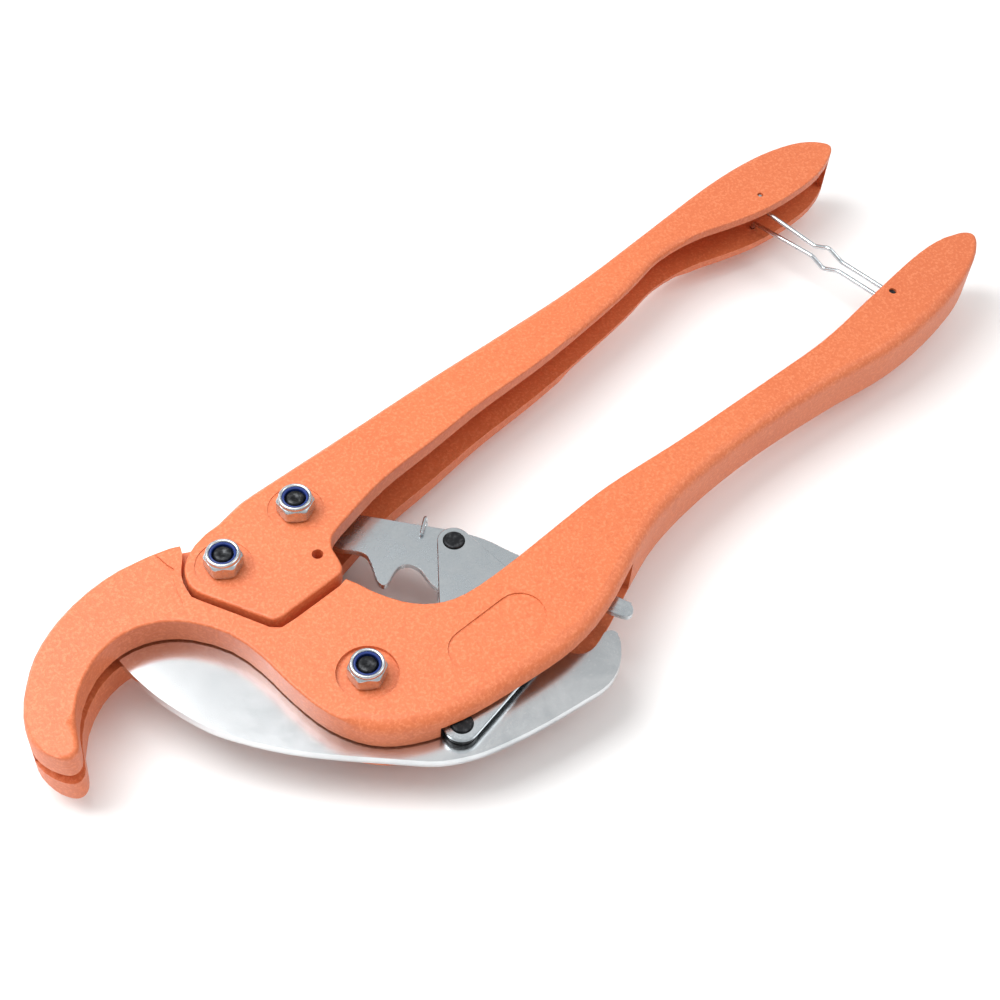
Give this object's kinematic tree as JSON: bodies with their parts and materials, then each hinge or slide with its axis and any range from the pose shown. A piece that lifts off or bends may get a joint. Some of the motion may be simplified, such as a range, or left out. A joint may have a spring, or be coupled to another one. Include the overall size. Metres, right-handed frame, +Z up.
{
  "type": "ratchet pipe cutter",
  "caption": "Hand-held ratchet cutter for plastic pipe: cast hook jaw and handle, pivoting handle, steel blade driven by a toothed lever, wire latch.",
  "frame": {"origin": "on the handle pivot's axis, at the bottom face of its bolt head, the lowest face of the tool lying flat", "axes": "+X along the tool from the head to the handle ends, +Y towards the moving handle, +Z up through the tool's thickness"},
  "size_m": [0.4641, 0.1777, 0.0482],
  "materials": {
    "orange_powder_coat": "fine-grained powder coat on aluminium castings",
    "zinc_plated_steel": "bright zinc plating",
    "polished_blade_steel": "ground and polished steel",
    "blackened_steel": "blackened steel pins and bolts",
    "blue_nylon": "moulded nylon locking inserts"
  },
  "bodies": {
    "body": {"fixed_body": "orange_powder_coat", "handle_pivot_bolt": "blackened_steel", "handle_pivot_nut": "zinc_plated_steel", "handle_pivot_nut_insert": "blue_nylon", "handle_pivot_bushing": "zinc_plated_steel", "blade_pivot_bolt": "blackened_steel", "blade_pivot_nut": "zinc_plated_steel", "blade_pivot_nut_insert": "blue_nylon", "blade_pivot_bushing": "zinc_plated_steel", "blade_spacer_upper": "zinc_plated_steel", "blade_spacer_lower": "zinc_plated_steel", "latch_catch_pin": "blackened_steel"},
    "handle": {"moving_handle": "orange_powder_coat", "roller_bolt": "blackened_steel", "roller_nut": "zinc_plated_steel", "roller_nut_insert": "blue_nylon", "ratchet_roller": "zinc_plated_steel"},
    "blade": {"blade": "polished_blade_steel", "side_plate_upper": "zinc_plated_steel", "side_plate_lower": "zinc_plated_steel", "ratchet_pivot_pin": "blackened_steel", "blade_link_pin": "blackened_steel", "blade_link_rivet": "blackened_steel"},
    "lever": {"ratchet_lever": "zinc_plated_steel", "ratchet_spring": "zinc_plated_steel"},
    "latch": {"latch_wire": "zinc_plated_steel"}
  },
  "joints": [
    {"name": "handle_pivot", "type": "hinge", "parent": "body", "child": "handle", "pos_m": [0, 0, 0.023], "axis": [0, 0, 1], "range_deg": [0, 40]},
    {"name": "blade_pivot", "type": "hinge", "parent": "body", "child": "blade", "pos_m": [0.017, -0.067, 0.023], "axis": [0, 0, 1], "range_deg": [0, 19.3]},
    {"name": "ratchet_lever", "type": "hinge", "parent": "blade", "child": "lever", "pos_m": [0.0803, -0.0335, 0.023], "axis": [0, 0, 1], "range_deg": [-22.5, 0]},
    {"name": "latch_swing", "type": "hinge", "parent": "handle", "child": "latch", "pos_m": [0.3095, 0.0405, 0.023], "axis": [0, 0, 1], "range_deg": [-2, 75]}
  ],
  "couplings": [
    {"joint": "blade_pivot", "follows": "handle_pivot", "ratio": 0.48},
    {"joint": "ratchet_lever", "follows": "handle_pivot", "ratio": -0.56}
  ]
}
